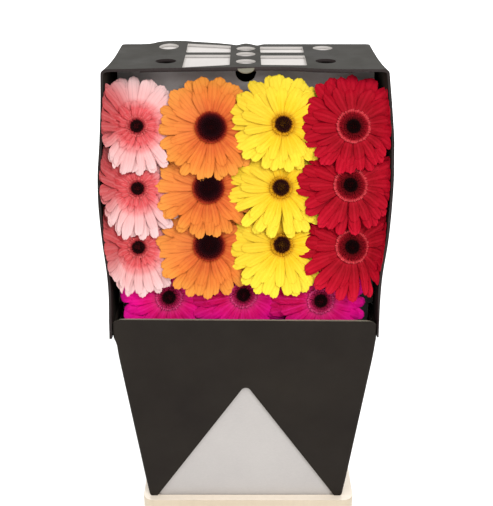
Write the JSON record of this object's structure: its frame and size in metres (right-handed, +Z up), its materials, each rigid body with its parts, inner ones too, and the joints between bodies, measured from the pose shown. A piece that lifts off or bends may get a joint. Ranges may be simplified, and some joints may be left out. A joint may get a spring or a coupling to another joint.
{
  "type": "cut gerbera display carton on a bucket",
  "caption": "Black folding carton that holds cut gerbera heads in colour columns behind an open sloping front, standing on a cream plastic bucket.",
  "frame": {"origin": "on the surface that the bucket stands on, under the middle of the carton, which is 3 mm to the left of the middle of the bucket's base", "axes": "+Z up; the open front with the flower heads faces -Y; +X is to the right seen from the front"},
  "size_m": [0.336, 0.246, 0.7261],
  "materials": {
    "bucket_plastic": "satin",
    "black_board": "satin",
    "pale_board": "matte",
    "grey_board": "satin",
    "stem_green": "satin",
    "pink_petals": "satin",
    "orange_petals": "satin",
    "yellow_petals": "satin",
    "red_petals": "satin",
    "magenta_petals": "satin",
    "pink_disc": "matte",
    "orange_disc": "matte",
    "yellow_disc": "matte",
    "red_disc": "matte",
    "magenta_disc": "matte"
  },
  "bodies": {
    "root": {"bucket": "bucket_plastic", "outer_sleeve": "black_board", "inner_liner": "pale_board", "hood": "black_board", "lid_liner": "pale_board", "flower_card": "grey_board", "pink_top_petals": "pink_petals", "pink_top_disc": "pink_disc", "pink_top_stem": "stem_green", "pink_middle_petals": "pink_petals", "pink_middle_disc": "pink_disc", "pink_middle_stem": "stem_green", "pink_bottom_petals": "pink_petals", "pink_bottom_disc": "pink_disc", "pink_bottom_stem": "stem_green", "orange_top_petals": "orange_petals", "orange_top_disc": "orange_disc", "orange_top_stem": "stem_green", "orange_middle_petals": "orange_petals", "orange_middle_disc": "orange_disc", "orange_middle_stem": "stem_green", "orange_bottom_petals": "orange_petals", "orange_bottom_disc": "orange_disc", "orange_bottom_stem": "stem_green", "yellow_top_petals": "yellow_petals", "yellow_top_disc": "yellow_disc", "yellow_top_stem": "stem_green", "yellow_middle_petals": "yellow_petals", "yellow_middle_disc": "yellow_disc", "yellow_middle_stem": "stem_green", "yellow_bottom_petals": "yellow_petals", "yellow_bottom_disc": "yellow_disc", "yellow_bottom_stem": "stem_green", "red_top_petals": "red_petals", "red_top_disc": "red_disc", "red_top_stem": "stem_green", "red_middle_petals": "red_petals", "red_middle_disc": "red_disc", "red_middle_stem": "stem_green", "red_bottom_petals": "red_petals", "red_bottom_disc": "red_disc", "red_bottom_stem": "stem_green", "magenta_left_petals": "magenta_petals", "magenta_left_disc": "magenta_disc", "magenta_left_stem": "stem_green", "magenta_centre_petals": "magenta_petals", "magenta_centre_disc": "magenta_disc", "magenta_centre_stem": "stem_green", "magenta_right_petals": "magenta_petals", "magenta_right_disc": "magenta_disc", "magenta_right_stem": "stem_green"}
  },
  "joints": []
}
